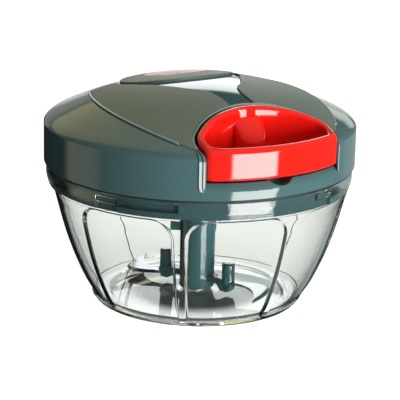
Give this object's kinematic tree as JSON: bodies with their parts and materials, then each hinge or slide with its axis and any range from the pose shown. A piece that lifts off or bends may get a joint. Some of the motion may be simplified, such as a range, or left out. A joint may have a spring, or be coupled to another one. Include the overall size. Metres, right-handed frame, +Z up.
{
  "type": "vegetable chopper",
  "caption": "Pull-cord vegetable chopper: clear bowl, domed lid with a D-shaped pull handle, a sprung cord reel and a turning blade set.",
  "frame": {"origin": "middle of the bowl's foot, on the surface it stands on", "axes": "+Z up along the bowl's and blades' axis, the pull handle faces -Y"},
  "size_m": [0.128, 0.128, 0.093],
  "materials": {
    "clear_plastic": "clear polished",
    "gloss_teal": "polished",
    "matte_teal": "fine grained",
    "gloss_red": "polished",
    "inner_teal": "satin",
    "white_nylon": "moulded",
    "steel": "ground",
    "black_rubber": "soft",
    "cord": "braided"
  },
  "bodies": {
    "bowl": {"bowl": "clear_plastic", "spindle_pin": "steel"},
    "seal": {"lid_seal": "black_rubber"},
    "lid": {"lid_base": "gloss_teal", "lid_cover": "gloss_teal", "left_pad": "matte_teal", "right_pad": "matte_teal", "top_medallion": "matte_teal", "badge_inlay": "gloss_red", "reel_housing": "white_nylon", "spring_cover": "steel", "reel_axle": "steel", "cord_guide": "steel", "pull_cord": "cord", "lid_screw_1": "steel", "lid_screw_2": "steel", "lid_screw_3": "steel", "lid_screw_4": "steel", "cover_screw_1": "steel", "cover_screw_2": "steel", "cover_screw_3": "steel"},
    "reel": {"cord_reel": "white_nylon", "cord_winding": "cord", "recoil_spring": "steel", "drive_socket": "white_nylon", "drive_screw": "steel", "thrust_washer": "steel"},
    "handle": {"pull_handle": "gloss_red", "cord_knot": "cord"},
    "blades": {"blade_column": "inner_teal", "upper_blade": "steel", "lower_blade": "steel"}
  },
  "joints": [
    {"name": "lid_lift", "type": "slide", "parent": "bowl", "child": "seal", "axis": [0, 0, 1], "range_m": [0, 0.08]},
    {"name": "lid_twist", "type": "hinge", "parent": "seal", "child": "lid", "pos_m": [0, 0, 0.058], "axis": [0, 0, 1], "range_deg": [-24, 0]},
    {"name": "handle_pull", "type": "slide", "parent": "lid", "child": "handle", "axis": [0, -1, 0], "range_m": [0, 0.36], "stiffness_N_per_m": 15, "springref_m": -0.1},
    {"name": "reel_spin", "type": "hinge", "parent": "lid", "child": "reel", "pos_m": [0, 0, 0.07], "axis": [0, 0, 1], "range_deg": [0, 1270]},
    {"name": "blade_spin", "type": "hinge", "parent": "lid", "child": "blades", "pos_m": [0, 0, 0.03], "axis": [0, 0, 1], "range_deg": [0, 1270]}
  ],
  "couplings": [
    {"joint": "reel_spin", "follows": "handle_pull", "rad_per_m": 61.35},
    {"joint": "blade_spin", "follows": "handle_pull", "rad_per_m": 61.35}
  ]
}
